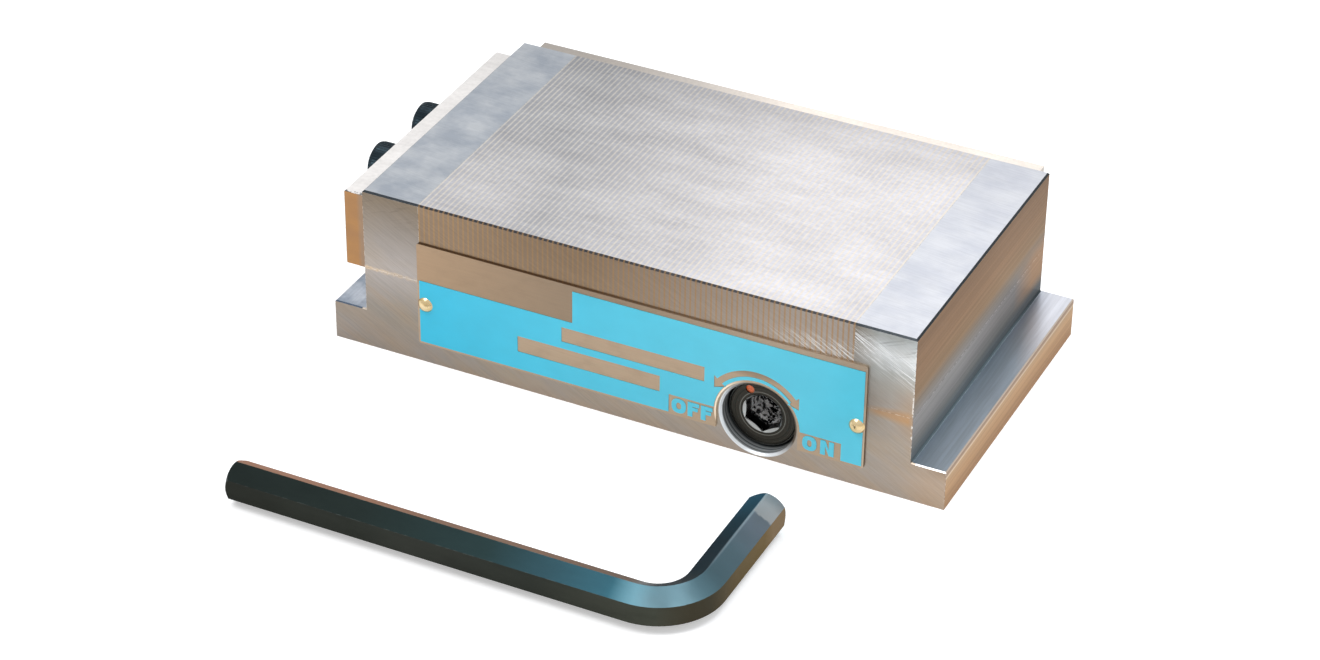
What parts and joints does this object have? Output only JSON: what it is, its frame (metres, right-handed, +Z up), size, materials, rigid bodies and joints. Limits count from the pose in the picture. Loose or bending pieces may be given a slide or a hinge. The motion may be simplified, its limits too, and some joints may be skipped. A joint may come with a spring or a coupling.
{
  "type": "magnetic chuck",
  "caption": "Rectangular permanent magnetic chuck with a laminated fine-pole work face, end flanges, side and rear stop plates, and a half-turn hexagon drive with its key.",
  "frame": {"origin": "centre of the base's bottom face", "axes": "+X along the length, -Y to the front with the drive and nameplate, +Z up to the work face"},
  "size_m": [0.1491, 0.1526, 0.04],
  "materials": {
    "ground_steel": "ground, with fine crossed scratches",
    "lamination_steel": "ground",
    "brass": "ground",
    "black_steel": "black oxide",
    "bright_steel": "bright",
    "seal_rubber": "matte",
    "nameplate_metal": "etched plate with blue fill and bare border",
    "bronze": "turned",
    "shaft_steel": "black oxide, turned",
    "dot_paint": "enamel paint",
    "frame_alloy": "milled",
    "magnet": "pressed and ground ferrite",
    "pole_iron": "ground",
    "stop_steel": "ground",
    "key_steel": "black oxide, worn bright at the short tip"
  },
  "bodies": {
    "chuck": {"base": "ground_steel", "left_end_block": "ground_steel", "right_end_block": "ground_steel", "steel_laminations": "lamination_steel", "brass_separators": "brass", "pole_plate_screws": "black_steel", "dowels": "bright_steel", "pocket_seal": "seal_rubber", "nameplate": "nameplate_metal", "nameplate_rivets": "brass", "shaft_bush": "bronze", "guide_strips": "bronze", "travel_stop_pins": "bright_steel", "side_stop_screws": "black_steel", "rear_stop_screws": "black_steel"},
    "drive": {"drive_shaft": "shaft_steel", "shaft_o_ring": "seal_rubber", "thrust_washer": "bronze", "snap_ring": "bright_steel", "stop_dog": "bright_steel", "indicator_dot": "dot_paint"},
    "carriage": {"carriage_frame": "frame_alloy", "carriage_plate": "frame_alloy", "carriage_screws": "bright_steel", "magnets": "magnet", "magnet_pole_bars": "pole_iron"},
    "side_stop": {"side_stop": "stop_steel"},
    "rear_stop": {"rear_stop": "stop_steel"},
    "key": {"hex_key": "key_steel"}
  },
  "joints": [
    {"name": "drive_turn", "type": "hinge", "parent": "chuck", "child": "drive", "pos_m": [0.03, -0.03, 0.0094], "axis": [0, 1, 0], "range_deg": [-60, 120]},
    {"name": "carriage_shift", "type": "slide", "parent": "chuck", "child": "carriage", "axis": [1, 0, 0], "range_m": [-0.0008, 0.0016]},
    {"name": "side_stop_raise", "type": "slide", "parent": "chuck", "child": "side_stop", "axis": [0, 0, 1], "range_m": [0, 0.0045]},
    {"name": "rear_stop_raise", "type": "slide", "parent": "chuck", "child": "rear_stop", "axis": [0, 0, 1], "range_m": [0, 0.0035]},
    {"name": "key_lift", "type": "slide", "parent": "chuck", "child": "key", "axis": [0, 0, 1], "range_m": [0, 0.05]}
  ],
  "couplings": [
    {"joint": "drive_turn", "follows": "carriage_shift", "rad_per_m": 1309}
  ]
}
